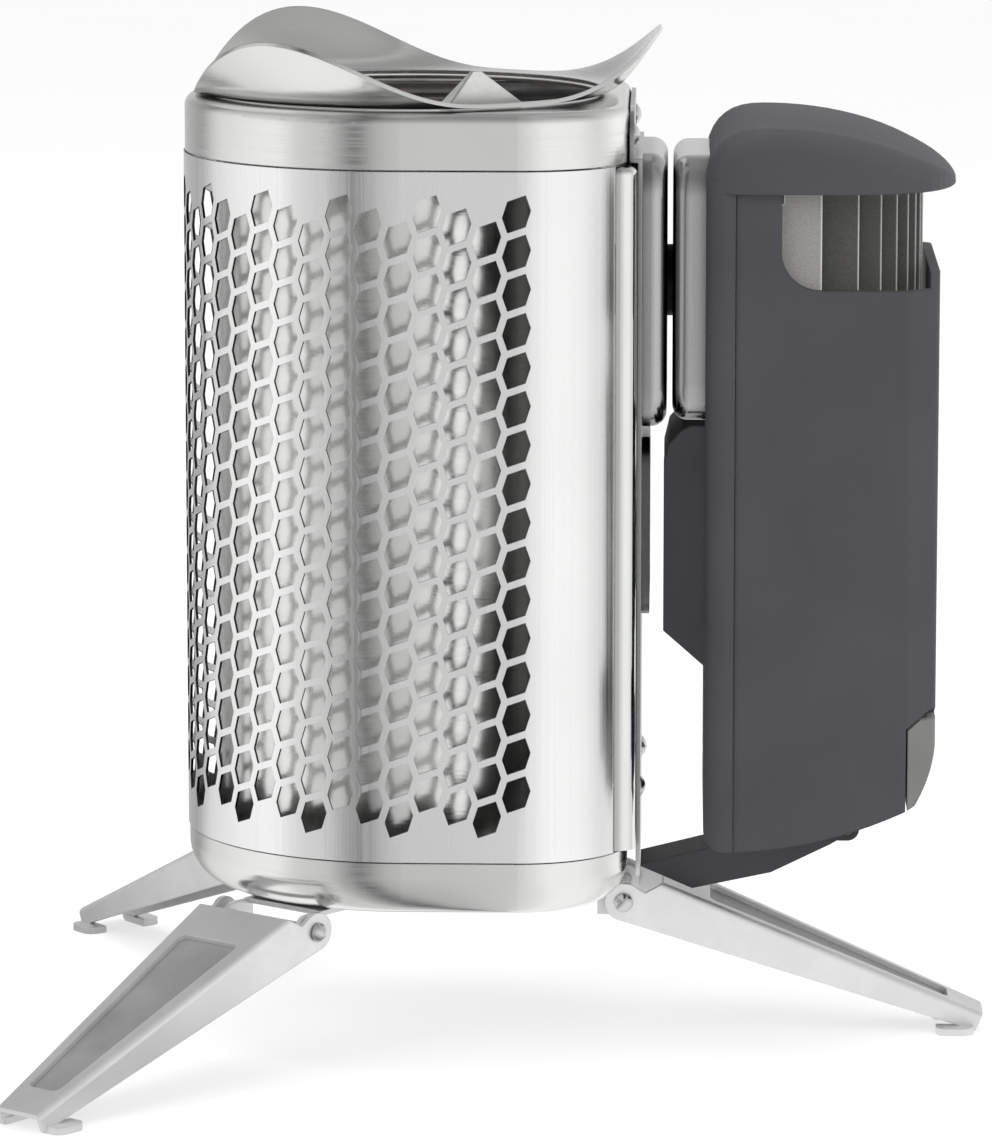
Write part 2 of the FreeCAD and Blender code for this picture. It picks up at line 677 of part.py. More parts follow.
def vent_cut():
    """Opening under the visor, open to both sides and to the front above a low lip."""
    vent = block((VENT_X, 130), (-50, 50), (VENT_Z, MODULE_VISOR_Z + 1))
    corner = [
        e
        for e in vent.Edges
        if e.BoundBox.YLength > 50 and e.BoundBox.XMax < VENT_X + 1e-4 and e.BoundBox.ZMax < VENT_Z + 1e-4
    ]
    lip = block((MODULE_FRONT_X - MODULE_WALL, 130), (-50, 50), (VENT_Z - 1, VENT_LIP_Z))
    return vent.makeFillet(VENT_CORNER_R, corner).cut(lip)


def door_seat():
    """Room taken out of the case for the door's skin, its rolled edge and its pins."""
    seat = front_block(0).cut(front_block(DOOR_SKIN + 0.4)).common(door_region(DOOR_GAP))
    swing = door_hinge_rod(DOOR_HINGE_R + 0.8, -DOOR_KNUCKLE_Y[0] + 0.2, DOOR_KNUCKLE_Y[0] - 0.2)
    return seat.fuse(swing)


def front_housing():
    """Front half of the module's case, with the vent cut out under the visor."""
    solid_nose = block((DOOR_X - 0.6, 130), (-50, 50), (30, DOOR_HINGE_Z + 4))
    hollow = front_block(MODULE_WALL).cut(solid_nose)
    mouth = block(
        (MODULE_PARTING_X - 1, MODULE_PARTING_X + 0.1),
        (-FRONT_HALF_WIDTH + MODULE_WALL, FRONT_HALF_WIDTH - MODULE_WALL),
        (MODULE_BOTTOM_Z + MODULE_WALL, MODULE_VISOR_Z - MODULE_WALL),
    )
    case = front_block(0).cut(hollow).cut(mouth).cut(vent_cut()).cut(door_seat())
    near, far = DOOR_KNUCKLE_Y
    for y_span in ((-far, -near), (near, far)):
        hanger = block((DOOR_HINGE_X - 1.2, DOOR_HINGE_X + 1.1), y_span, (DOOR_HINGE_Z, DOOR_HINGE_Z + 3))
        knuckle = door_hinge_rod(DOOR_HINGE_R + 0.1, *y_span)
        case = case.fuse([hanger, knuckle])
    case = case.cut(door_hinge_rod(DOOR_PIN_R + 0.05, -26, 26))
    socket_hole = block((SOCKET_X[0], 130), (-6.2, 6.2), (SOCKET_Z[0] - 0.2, SOCKET_Z[1] + 0.2))
    case = case.cut(socket_hole)
    for z in BUTTON_Z.values():
        case = case.cut(rod(vec(110, 0, z), ALONG_X, BUTTON_R + 0.1, 20))
    case = case.cut(block((110, 130), (-2.6, 2.6), (145.9, 160.1)))
    for side in (-1, 1):
        y_span = sorted((side * LUG_Y[0], side * LUG_Y[1]))
        lug_z = (ARM_PIVOT_Z, module_bottom_z(ARM_PIVOT_X) + 1)
        lug = block((ARM_PIVOT_X - LUG_R, ARM_PIVOT_X + LUG_R), y_span, lug_z)
        eye = rod(vec(ARM_PIVOT_X, y_span[0], ARM_PIVOT_Z), ALONG_Y, LUG_R, LUG_Y[1] - LUG_Y[0])
        case = case.fuse(lug.fuse(eye))
    case = case.cut(rod(vec(ARM_PIVOT_X, -30, ARM_PIVOT_Z), ALONG_Y, PIN_R, 60))
    return case.removeSplitter()


def back_housing():
    """Back tray of the case with the air outlet boss, in one piece with the visor."""
    half = MODULE_HALF_WIDTH
    front = MODULE_PARTING_X - 0.1
    w = MODULE_WALL
    tray = block((MODULE_BACK_X, front), (-half, half), (MODULE_BOTTOM_Z, MODULE_VISOR_Z + 3))
    back_edges = [
        e
        for e in tray.Edges
        if e.BoundBox.XMax < MODULE_BACK_X + 1e-4
        and (e.BoundBox.ZLength > 50 or e.BoundBox.ZMax < MODULE_BOTTOM_Z + 1e-4)
    ]
    tray = tray.makeFillet(4.5, back_edges)
    low, high = BOSS_Z
    boss_side = [
        (MODULE_BACK_X + 1, low - 1),
        (MODULE_BACK_X, low),
        (BOSS_OUT_X, low + 8),
        (BOSS_OUT_X, high - 9),
        (BOSS_OUT_X + 1.2, high - 4),
        (BOSS_OUT_X + 4, high - 1),
        (BOSS_OUT_X + 6, high),
        (MODULE_BACK_X + 1, high),
    ]
    boss = prism_y(boss_side, BOSS_HALF_WIDTH)
    hollow = block(
        (MODULE_BACK_X + w, front + 1),
        (-half + w, half - w),
        (MODULE_BOTTOM_Z + w, MODULE_VISOR_Z - w),
    )
    tray = tray.fuse([boss, hood_block()]).cut(hollow).cut(hood_pocket())
    outlet = rod(vec(50, 0, FAN_Z), ALONG_X, FAN_R + 0.8, MODULE_BACK_X + w - 50 + 0.1)
    tray = tray.cut(outlet)
    tray = tray.cut(shroud_block(0.25, MODULE_BACK_X - 2, MODULE_BACK_X + w + 2))
    for y, z in screw_places():
        tray = tray.cut(rod(vec(MODULE_BACK_X - 1, y, z), ALONG_X, 2.8, 2.2))
        tray = tray.cut(rod(vec(MODULE_BACK_X - 1, y, z), ALONG_X, 1.25, 10))
    return tray.removeSplitter()


def screw_places():
    """Y and Z of the case screws in the back tray's face."""
    return [(side * 27.5, z) for side in (-1, 1) for z in (58.0, 132.0)]


def housing_screws():
    """Countersunk case screws."""
    screws = []
    for y, z in screw_places():
        head = rod(vec(MODULE_BACK_X + 0.1, y, z), ALONG_X, 2.6, 1.1)
        shank = rod(vec(MODULE_BACK_X + 1.1, y, z), ALONG_X, 1.2, 5.5)
        socket = block((MODULE_BACK_X, MODULE_BACK_X + 0.8), (y - 1.8, y + 1.8), (z - 0.35, z + 0.35))
        cross = block((MODULE_BACK_X, MODULE_BACK_X + 0.8), (y - 0.35, y + 0.35), (z - 1.8, z + 1.8))
        screws.append(head.fuse(shank).cut(socket).cut(cross).removeSplitter())
    return Part.makeCompound(screws)


def shroud_block(grow, x_low, x_high):
    half = SHROUD_HALF_WIDTH + grow
    z_span = (SHROUD_Z[0] - grow, SHROUD_Z[1] + grow)
    return rounded_block((x_low, x_high), (-half, half), z_span, 9.0 + grow, ALONG_X)


def heat_shroud():
    """Drawn stainless box round the hot side of the module."""
    outer = shroud_block(0, SHROUD_OUT_X, 70.5)
    rim = [e for e in outer.Edges if e.BoundBox.XMax < SHROUD_OUT_X + 1e-4]
    outer = outer.makeFillet(3.5, rim)
    hollow = shroud_block(-SHEET, SHROUD_OUT_X + SHEET, 80)
    floor = [e for e in hollow.Edges if e.BoundBox.XMax < SHROUD_OUT_X + SHEET + 1e-4]
    outer = outer.cut(hollow.makeFillet(3.5 - SHEET, floor))
    return outer.cut(rod(vec(50, 0, PROBE_Z), ALONG_X, PROBE_R + 0.3, 20))


def heat_probe():
    """Metal rod that carries heat from the fire to the generator."""
    tip_x = 27.0
    shaft = rod(vec(tip_x, 0, PROBE_Z), ALONG_X, PROBE_R, 67.0 - tip_x)
    front = [e for e in shaft.Edges if e.BoundBox.XMax < tip_x + 1e-4]
    shaft = shaft.makeFillet(2.5, front)
    pad = block((67.0, 69.8), (-20, 20), CELL_Z)
    return shaft.fuse(pad).removeSplitter()


def thermo_cell():
    """Thermoelectric generator wafer between the probe's pad and the heat sink."""
    return block((69.9, 73.4), (-20, 20), CELL_Z)


def fin_reach(y):
    """Length of each fin follows the round front of the case."""
    return 78.5 + 36.5 * math.sqrt(1 - (y / 33.0) ** 2)


def heat_sink():
    """Aluminium base and upright fins behind the vent."""
    case_top = MODULE_VISOR_Z - MODULE_WALL - 0.2
    fins = []
    for k in range(FIN_COUNT):
        y = FIN_OUTER_Y * (2 * k / (FIN_COUNT - 1) - 1)
        y_span = (y - FIN_SHEET / 2, y + FIN_SHEET / 2)
        fins.append(block((77, fin_reach(y)), y_span, (163, case_top)))
        fins.append(block((VENT_X + 0.4, fin_reach(y)), y_span, (case_top - 1, MODULE_VISOR_Z - 0.2)))
    base = block((73.5, 78.0), (-30.5, 30.5), (146, case_top))
    return base.fuse(fins).removeSplitter()


def hood_height(x):
    """Top of the visor: a round back, a crown, then a brim falling to the tip."""
    if x < HOOD_CROWN_X:
        back = (HOOD_CROWN_X - x) / (HOOD_CROWN_X - MODULE_BACK_X)
        return HOOD_SHOULDER_Z + (HOOD_TOP_Z - HOOD_SHOULDER_Z) * max(0.0, 1 - back ** 2.6) ** 0.385
    front = (x - HOOD_CROWN_X) / (HOOD_TIP_X - HOOD_CROWN_X)
    return HOOD_TIP_Z + (HOOD_TOP_Z - HOOD_TIP_Z) * max(0.0, 1 - front * front) ** 0.75


def hood_half_width(x):
    """Half width in plan, rounded at the back and more so at the brim."""
    if x < HOOD_CROWN_X:
        share = (HOOD_CROWN_X - x) / (HOOD_CROWN_X - MODULE_BACK_X)
        return HOOD_HALF_WIDTH - 4.0 * share ** 4
    share = (x - HOOD_CROWN_X) / (HOOD_TIP_X - HOOD_CROWN_X)
    return HOOD_HALF_WIDTH * max(0.0, 1 - share ** 4.5) ** 0.42


def hood_section(x):
    """Cross-section of the visor: upright sides, round shoulders and a slightly arched top."""
    low = MODULE_VISOR_Z
    half = max(hood_half_width(x), 3.0)
    top = max(hood_height(x), low + 1.2)
    shoulder = min(6.0, 0.75 * (top - low))
    arch = 0.12 * shoulder
    turn = shoulder * math.sqrt(0.5)
    side = half - shoulder
    level = top - arch - shoulder
    near_turn = vec(x, -side - turn, level + turn)
    far_turn = vec(x, side + turn, level + turn)
    edges = [
        Part.makeLine(vec(x, -half, low), vec(x, -half, level)),
        Part.Arc(vec(x, -half, level), near_turn, vec(x, -side, top - arch)).toShape(),
        Part.Arc(vec(x, -side, top - arch), vec(x, 0, top), vec(x, side, top - arch)).toShape(),
        Part.Arc(vec(x, side, top - arch), far_turn, vec(x, half, level)).toShape(),
        Part.makeLine(vec(x, half, level), vec(x, half, low)),
        Part.makeLine(vec(x, half, low), vec(x, -half, low)),
    ]
    return Part.Wire(edges)


def hood_block():
    """Visor's outer form, from the module's back to the brim's tip."""
    first = MODULE_BACK_X + 0.15
    last = HOOD_TIP_X - 0.2
    sections = []
    for k in range(HOOD_STEPS + 1):
        share = 0.5 - 0.5 * math.cos(math.pi * k / HOOD_STEPS)
        sections.append(hood_section(first + (last - first) * share))
    return Part.makeLoft(sections, True, True)


def hood_pocket():
    """Hollow under the visor, over the heat sink."""
    pocket = block((MODULE_BACK_X + 4, 106), (-28, 28), (MODULE_VISOR_Z - 5, MODULE_VISOR_Z + 9))
    uprights = [e for e in pocket.Edges if e.BoundBox.ZLength > 5]
    return pocket.makeFillet(5.0, uprights)


def fan_frame():
    """Spider that holds the fan's motor."""
    ring = rod(vec(80.5, 0, FAN_Z), ALONG_X, 26.0, 2.0).cut(rod(vec(80, 0, FAN_Z), ALONG_X, 21.0, 3.0))
    hub = rod(vec(80.5, 0, FAN_Z), ALONG_X, 12.0, 2.0)
    spokes = []
    for k in range(3):
        spoke = block((80.5, 82.5), (-1.8, 1.8), (10, 23))
        spoke.rotate(vec(0, 0, 0), ALONG_X, 120 * k)
        spoke.translate(vec(0, 0, FAN_Z))
        spokes.append(spoke)
    frame = ring.fuse([hub] + spokes)
    return frame.cut(rod(vec(80, 0, FAN_Z), ALONG_X, 3.0, 3.0)).removeSplitter()


def fan_motor():
    """Small motor with its shaft pointing to the burn chamber."""
    can = rod(vec(82.5, 0, FAN_Z), ALONG_X, 11.0, 13.0)
    nose = rod(vec(80.6, 0, FAN_Z), ALONG_X, 2.8, 2.5)
    shaft = rod(vec(66.0, 0, FAN_Z), ALONG_X, 1.0, 16.0)
    return can.fuse([nose, shaft]).removeSplitter()


def fan_rotor():
    """Axial impeller turning in the outlet boss."""
    hub = rod(vec(64.5, 0, FAN_Z), ALONG_X, 6.0, 12.0)
    blades = []
    for k in range(7):
        blade = block((-5.5, 5.5), (-0.6, 0.6), (4.5, FAN_R))
        blade.rotate(vec(0, 0, 0), UP, 38)
        blade.rotate(vec(0, 0, 0), ALONG_X, 360.0 * k / 7)
        blade.translate(vec(70.5, 0, FAN_Z))
        blades.append(blade)
    rotor = hub.fuse(blades).common(rod(vec(60, 0, FAN_Z), ALONG_X, FAN_R, 30))
    return rotor.cut(rod(vec(63, 0, FAN_Z), ALONG_X, 1.05, 20)).removeSplitter()


def circuit_board():
    """Control board with its larger components."""
    board = block((103.0, 104.6), (-26, 26), (78, 146))
    chips = [
        block((100.8, 103.0), (-6, 6), (100, 112)),
        block((99.0, 103.0), (10, 20), (84, 94)),
        block((100.0, 103.0), (-20, -12), (120, 134)),
    ]
    return board.fuse(chips).removeSplitter()


def battery():
    """Rechargeable cell lying across the bottom of the module."""
    cell = rod(vec(86.5, -29, 63.0), ALONG_Y, 9.1, 58.0)
    return cell.fuse(rod(vec(86.5, 29, 63.0), ALONG_Y, 3.0, 1.0)).removeSplitter()


def usb_socket():
    """Charging socket behind the port door."""
    x_low, x_high = SOCKET_X
    z_low, z_high = SOCKET_Z
    wall = 0.7
    body = block(SOCKET_X, (-6.0, 6.0), SOCKET_Z)
    body = body.cut(block((x_low + 2, x_high + 1), (-6.0 + wall, 6.0 - wall), (z_low + wall, z_high - wall)))
    tongue = block((x_low + 2, x_high - 1.5), (-4.8, 4.8), (z_high - 2.6, z_high - 1.2))
    return body.fuse(tongue).removeSplitter()


def port_door():
    """Soft door wrapped over the module's nose, hinged on two small pins along its top edge."""
    near, far = DOOR_KNUCKLE_Y
    skin = front_block(0).cut(front_block(DOOR_SKIN)).common(door_region(0))
    skin = skin.fuse(door_hinge_rod(DOOR_HINGE_R, -near + 0.3, near - 0.3))
    for y_span in ((-50, -near + 0.3), (near - 0.3, 50)):
        skin = skin.cut(block((DOOR_HINGE_X - 3, 130), y_span, (DOOR_HINGE_Z - 1.8, 90)))
    pin = door_hinge_rod(DOOR_PIN_R, -far - 0.2, far + 0.2)
    return skin.fuse(pin).removeSplitter()


def press_button(z):
    """Round button held by a flange inside the case."""
    cap = rod(vec(MODULE_FRONT_X - 3.2, 0, z), ALONG_X, BUTTON_R, 4.0)
    flange = rod(vec(MODULE_FRONT_X - 5.0, 0, z), ALONG_X, BUTTON_R + 1.2, 1.8)
    edges = [e for e in cap.Edges if e.BoundBox.XMin > MODULE_FRONT_X]
    return cap.makeFillet(0.5, edges).fuse(flange).removeSplitter()


def power_button():
    return press_button(BUTTON_Z["power"])


def mode_button():
    return press_button(BUTTON_Z["mode"])


def light_bar():
    """Row of indicator lights under one long lens."""
    lens = block((MODULE_FRONT_X - 2.6, MODULE_FRONT_X + 0.3), (-2.5, 2.5), (146.0, 160.0))
    flange = block((MODULE_FRONT_X - 4.0, MODULE_FRONT_X - 2.4), (-4, 4), (144.5, 161.5))
    return lens.fuse(flange).removeSplitter()


def support_arm():
    """Arm under the module whose toe rests on the leg below it."""
    clear = 0.5
    slope = math.tan(math.radians(LEG_SLOPE))
    plate_z = LEG_PIVOT_Z + LEG_PLATE_LIFT / math.cos(math.radians(LEG_SLOPE))
    heel_x = 64.2
    toe_x = 52.2
    leg_x = LEG_PIVOT_R["leg_module_side"]
    top_low_x = 88.0
    side = [
        (toe_x, plate_z + clear - (toe_x - leg_x) * slope),
        (heel_x, plate_z + clear - (heel_x - leg_x) * slope),
        (82.0, 37.1),
        (95.3, 43.6),
        (ARM_PIVOT_X, ARM_PIVOT_Z - 2.6),
        (ARM_PIVOT_X, ARM_PIVOT_Z + 2.2),
        (top_low_x, module_bottom_z(top_low_x) - clear),
        (67.1, 42.5),
        (toe_x, 38.8),
    ]
    eye = rod(vec(ARM_PIVOT_X, -ARM_HALF_WIDTH, ARM_PIVOT_Z), ALONG_Y, 2.6, 2 * ARM_HALF_WIDTH)
    arm = prism_y(side, ARM_HALF_WIDTH).fuse(eye)
    return arm.cut(rod(vec(ARM_PIVOT_X, -30, ARM_PIVOT_Z), ALONG_Y, PIN_HOLE_R, 60)).removeSplitter()


def arm_pin():
    """Pin through the case's lugs and the arm's eye."""
    return rod(vec(ARM_PIVOT_X, LATCH_Y[0], ARM_PIVOT_Z), ALONG_Y, PIN_R, LUG_Y[1] - LATCH_Y[0] + 0.4)


def arm_latch():
    """Small catch on the end of the arm's pin."""
    y_low, y_high = LATCH_Y
    barrel = rod(vec(ARM_PIVOT_X, y_low, ARM_PIVOT_Z), ALONG_Y, 2.7, y_high - y_low)
    lever = block((ARM_PIVOT_X - 5.0, ARM_PIVOT_X), LATCH_Y, (ARM_PIVOT_Z - 2.7, ARM_PIVOT_Z - 0.6))
    latch = barrel.fuse(lever)
    return latch.cut(rod(vec(ARM_PIVOT_X, -30, ARM_PIVOT_Z), ALONG_Y, PIN_HOLE_R, 60)).removeSplitter()


def build_all():
    nodes = {
        "pot_stand": pot_stand(),
        "pot_stand_tab": pot_stand_tab(),
        "top_cap": top_cap(),
        "heat_shell": heat_shell(),
        "rear_panel": rear_panel(),
        "air_jacket": air_jacket(),
        "burn_chamber": burn_chamber(),
        "chamber_rim": chamber_rim(),
        "fire_grate": fire_grate(),
        "base_cap": base_cap(),
        "mounting_plate": mounting_plate(),
        "plate_rivets": plate_rivets(),
        "leg_brackets": leg_brackets(),
        "leg_pins": leg_pins(),
        "back_housing": back_housing(),
        "front_housing": front_housing(),
        "heat_sink": heat_sink(),
        "heat_shroud": heat_shroud(),
        "thermo_cell": thermo_cell(),
        "heat_probe": heat_probe(),
        "fan_motor": fan_motor(),
        "fan_frame": fan_frame(),
        "fan_rotor": fan_rotor(),
        "circuit_board": circuit_board(),
        "battery": battery(),
        "usb_socket": usb_socket(),
        "light_bar": light_bar(),
        "housing_screws": housing_screws(),
        "arm_pin": arm_pin(),
        "port_door": port_door(),
        "power_button": power_button(),
        "mode_button": mode_button(),
        "support_arm": support_arm(),
        "arm_latch": arm_latch(),
    }
    for name in LEG_ANGLES:
        nodes[name] = place_leg(name, leg_solid())
        nodes[name + "_inlay"] = place_leg(name, leg_inlay())
    return nodes


os.makedirs("parts", exist_ok=True)
all_nodes = build_all()
x_low = min(shape.BoundBox.XMin for shape in all_nodes.values())
x_high = max(shape.BoundBox.XMax for shape in all_nodes.values())
footprint_middle = (x_low + x_high) / 2
print("moved along X by", -footprint_middle)
for node_name, shape in all_nodes.items():
    shape.translate(vec(-footprint_middle, 0, 0))
    shape.exportStep("parts/" + node_name + ".step")
    box = shape.BoundBox
    print(node_name, len(shape.Solids), round(shape.Volume, 1), shape.isValid(),
          [round(v, 1) for v in (box.XMin, box.XMax, box.YMin, box.YMax, box.ZMin, box.ZMax)])
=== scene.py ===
import bpy
import json
import math
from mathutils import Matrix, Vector

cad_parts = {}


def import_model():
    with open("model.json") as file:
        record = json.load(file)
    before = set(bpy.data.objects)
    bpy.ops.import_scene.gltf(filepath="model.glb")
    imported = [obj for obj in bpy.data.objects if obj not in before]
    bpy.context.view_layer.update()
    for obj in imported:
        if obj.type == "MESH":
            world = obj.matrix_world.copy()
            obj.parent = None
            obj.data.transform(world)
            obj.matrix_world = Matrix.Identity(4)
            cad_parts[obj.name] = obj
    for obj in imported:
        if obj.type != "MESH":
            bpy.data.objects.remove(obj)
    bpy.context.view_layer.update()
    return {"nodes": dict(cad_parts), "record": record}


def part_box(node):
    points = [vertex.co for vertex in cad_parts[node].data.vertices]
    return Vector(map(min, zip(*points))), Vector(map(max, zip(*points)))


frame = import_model()
MM = 0.001
chamber_low, chamber_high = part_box("burn_chamber")
CHAMBER_CENTRE = (chamber_low + chamber_high) / 2


# ------------------------------------------------------------ node helpers


class Wiring:
    """A node tree and the short calls that add and join its nodes."""

    def __init__(self, tree):
        self.tree = tree

    def node(self, kind, **settings):
        made = self.tree.nodes.new(kind)
        for key, value in settings.items():
            setattr(made, key, value)
        return made

    def join(self, output, target):
        self.tree.links.new(output, target)

    def feed(self, value, target):
        """Joins an output to an input, or sets the input to a plain value."""
        if isinstance(value, bpy.types.NodeSocket):
            self.join(value, target)
        else:
            target.default_value = value

    def maths(self, operation, *values):
        made = self.node("ShaderNodeMath", operation=operation)
        for value, target in zip(values, made.inputs):
            self.feed(value, target)
        return made.outputs[0]

    def vectors(self, operation, *values):
        made = self.node("ShaderNodeVectorMath", operation=operation)
        for value, target in zip(values, made.inputs):
            self.feed(value, target)
        return made.outputs["Value" if operation == "DOT_PRODUCT" else "Vector"]

    def split(self, vector):
        made = self.node("ShaderNodeSeparateXYZ")
        self.join(vector, made.inputs[0])
        return made.outputs

    def ramp(self, value, low, high, start=0.3, end=0.7):
        """Remaps a value that runs from start to end between two numbers."""
        made = self.node("ShaderNodeMapRange")
        made.inputs["From Min"].default_value = start
        made.inputs["From Max"].default_value = end
        made.inputs["To Min"].default_value = low
        made.inputs["To Max"].default_value = high
        self.join(value, made.inputs["Value"])
        return made.outputs["Result"]

    def mix(self, value, low, high):
        """Colour between two, by a 0 to 1 value."""
        made = self.node("ShaderNodeMix", data_type="RGBA")
        for colour, name in ((low, "A"), (high, "B")):
            self.feed((*colour, 1) if isinstance(colour, tuple) else colour, made.inputs[name])
        self.join(value, made.inputs["Factor"])
        return made.outputs["Result"]


class Look(Wiring):
    """A procedural material."""

    def __init__(self, name):
        self.material = bpy.data.materials.new(name)
        self.material.use_nodes = True
        super().__init__(self.material.node_tree)
        self.shader = self.tree.nodes["Principled BSDF"]
        self.coords = self.node("ShaderNodeTexCoord").outputs["Object"]

    def set(self, **values):
        for key, value in values.items():
            self.feed(value, self.shader.inputs[key.replace("_", " ").title()])

    def noise(self, scale, detail=3.0, rough=0.5):
        """Noise value, with a separate scale for each axis."""
        mapping = self.node("ShaderNodeMapping")
        mapping.inputs["Scale"].default_value = scale
        self.join(self.coords, mapping.inputs["Vector"])
        made = self.node("ShaderNodeTexNoise")
        made.inputs["Scale"].default_value = 1.0
        made.inputs["Detail"].default_value = detail
        made.inputs["Roughness"].default_value = rough
        self.join(mapping.outputs["Vector"], made.inputs["Vector"])
        return made.outputs["Fac"]

    def bump(self, value, strength, depth, below=None):
        """Normal with fine relief, depth in millimetres, laid over another normal."""
        made = self.node("ShaderNodeBump")
        made.inputs["Strength"].default_value = strength
        made.inputs["Distance"].default_value = depth * MM
        self.join(value, made.inputs["Height"])
        if below is not None:
            self.join(below, made.inputs["Normal"])
        return made.outputs["Normal"]

    def rounded(self, radius):
        """Normal that softens sharp edges by a radius in millimetres."""
        made = self.node("ShaderNodeBevel", samples=4)
        made.inputs["Radius"].default_value = radius * MM
        return made.outputs["Normal"]


# ------------------------------------------------------------ materials


def steel_look(
    name, grain, colour=(0.80, 0.80, 0.79), roughness=0.24, spread=0.06, anisotropic=0.5, edge=0.25, gap=0
):
    """Brushed stainless sheet. grain scales the brushing: small numbers run along it.

    edge is the softening of sharp edges. gap paints shade into the colour, near-black where
    another surface lies that close: painted shade between parts. Both are in millimetres.
    """
    look = Look(name)
    lines = look.noise(grain, detail=2.0)
    clouds = look.noise((28, 28, 28), detail=4.0)
    worn = tuple(0.94 * c for c in colour)
    tone = look.mix(look.ramp(clouds, 0.0, 1.0), worn, colour)
    # Painted shade: where another surface lies within gap, the colour is mixed towards near-black (0.03),
    # standing in for the shade between parts.
    if gap:
        shade = look.node("ShaderNodeAmbientOcclusion", samples=6)
        shade.inputs["Distance"].default_value = gap * MM
        tone = look.mix(look.ramp(shade.outputs["AO"], 0.0, 1.0, 0.35, 0.95), (0.03, 0.03, 0.03), tone)
    fine = look.ramp(lines, roughness - spread, roughness + spread)
    patches = look.ramp(clouds, -0.03, 0.03)
    relief = look.bump(lines, 0.25, 0.04, look.rounded(edge))
    look.set(
        base_color=tone,
        metallic=1.0,
        anisotropic=anisotropic,
        roughness=look.maths("ADD", fine, patches),
        normal=relief,
    )
    if anisotropic:
        tangent = look.node("ShaderNodeTangent", direction_type="RADIAL", axis="Z")
        look.set(tangent=tangent.outputs["Tangent"])
    return look


def steel(*settings, **named):
    return steel_look(*settings, **named).material


def pierced_steel(name, grain, colour, roughness):
    """Brushed sheet whose cut edges round the holes are painted near-black, as painted shade."""
    look = steel_look(name, grain, colour, roughness, anisotropic=0.25, edge=0.1)
    geometry = look.node("ShaderNodeNewGeometry")
    outward = look.vectors("SUBTRACT", geometry.outputs["Position"], CHAMBER_CENTRE)
    level = look.vectors("MULTIPLY", outward, (1, 1, 0))
    unit = look.vectors("NORMALIZE", level)
    facing = look.vectors("DOT_PRODUCT", unit, geometry.outputs["True Normal"])
    # Painted shade: faces that neither face outward nor inward, the walls of the holes, get a near-black
    # colour in place of the shade they lie in.
    sheet = look.ramp(look.maths("ABSOLUTE", facing), 0.0, 1.0, 0.25, 0.7)
    brushed = look.shader.inputs["Base Color"].links[0].from_socket
    look.set(base_color=look.mix(sheet, (0.05, 0.05, 0.05), brushed))
    return look.material


def fin_metal(name):
    """Blasted aluminium fins in lit and shaded copies of one finish: sides painted dark as painted shade,
    the outermost face painted paler as painted light, and edges with a painted highlight.
    """
    look = Look(name)
    speckle = look.noise((2600, 2600, 2600), detail=2.0)
    clouds = look.noise((90, 90, 40), detail=4.0)
    # Painted shade and painted light: the same blasted finish, near-black on the deeper fins' sides and
    # paler on the outermost face, for how light reaches them.
    shaded_sides = look.mix(look.ramp(speckle, 0.0, 1.0), (0.060, 0.059, 0.056), (0.085, 0.083, 0.080))
    lit_face = look.mix(look.ramp(speckle, 0.0, 1.0), (0.22, 0.215, 0.205), (0.30, 0.295, 0.285))
    sideways = look.maths("ABSOLUTE", look.split(look.coords)["Y"])
    last_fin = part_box("heat_sink")[1].y
    lit_face_share = look.ramp(sideways, 0.0, 1.0, last_fin - 0.8 * MM, last_fin - 0.4 * MM)
    side = look.mix(lit_face_share, shaded_sides, lit_face)
    # Painted highlight: a pale colour (0.72) along every sharp edge, where the rounded normal turns away
    # from the true one.
    flat = look.node("ShaderNodeNewGeometry").outputs["True Normal"]
    flatness = look.vectors("DOT_PRODUCT", look.rounded(0.7), flat)
    edge = look.ramp(flatness, 1.0, 0.0, 0.9, 0.995)
    look.set(
        base_color=look.mix(edge, side, (0.72, 0.72, 0.71)),
        metallic=0.4,
        roughness=look.ramp(clouds, 0.42, 0.6),
        normal=look.bump(speckle, 0.2, 0.03),
    )
    return look.material


def tinted_steel(name):
    """Steel that has been in the fire: brown and blue-grey patches with upright streaks."""
    look = Look(name)
    clouds = look.noise((35, 35, 60), detail=6.0, rough=0.6)
    streaks = look.noise((160, 160, 12))
    look.set(
        base_color=look.mix(look.ramp(clouds, 0.0, 1.0, 0.35, 0.65), (0.26, 0.21, 0.17), (0.30, 0.31, 0.34)),
        metallic=1.0,
        roughness=look.ramp(streaks, 0.28, 0.5),
        normal=look.bump(streaks, 0.3, 0.1),
    )
    return look.material


def leg_metal(name, low, high, metallic):
    """Satin aluminium sheet with a fine grain and cloudy tone between two greys."""
    look = Look(name)
    grain = look.noise((700, 700, 700))
    clouds = look.noise((60, 60, 60), detail=4.0)
    look.set(
        base_color=look.mix(look.ramp(clouds, 0.0, 1.0), (low,) * 3, (high,) * 3),
        metallic=metallic,
        roughness=look.ramp(grain, 0.36, 0.48),
        normal=look.bump(grain, 0.15, 0.03, look.rounded(0.3)),
    )
    return look.material


def plastic(name, colour, roughness=0.55, grain=2600.0, depth=0.03, sheen=0.0):
    """Moulded plastic or rubber with a fine eroded texture, depth in millimetres."""
    look = Look(name)
    texture = look.noise((grain, grain, grain), detail=2.0)
    clouds = look.noise((40, 40, 40), detail=5.0)
    dull = tuple(0.90 * c for c in colour)
    fresh = tuple(1.08 * c for c in colour)
    look.set(
        base_color=look.mix(look.ramp(clouds, 0.0, 1.0), dull, fresh),
        roughness=look.ramp(texture, roughness - 0.06, roughness + 0.06),
        sheen_weight=sheen,
        normal=look.bump(texture, 0.3, depth, look.rounded(0.5)),
    )
    return look.material


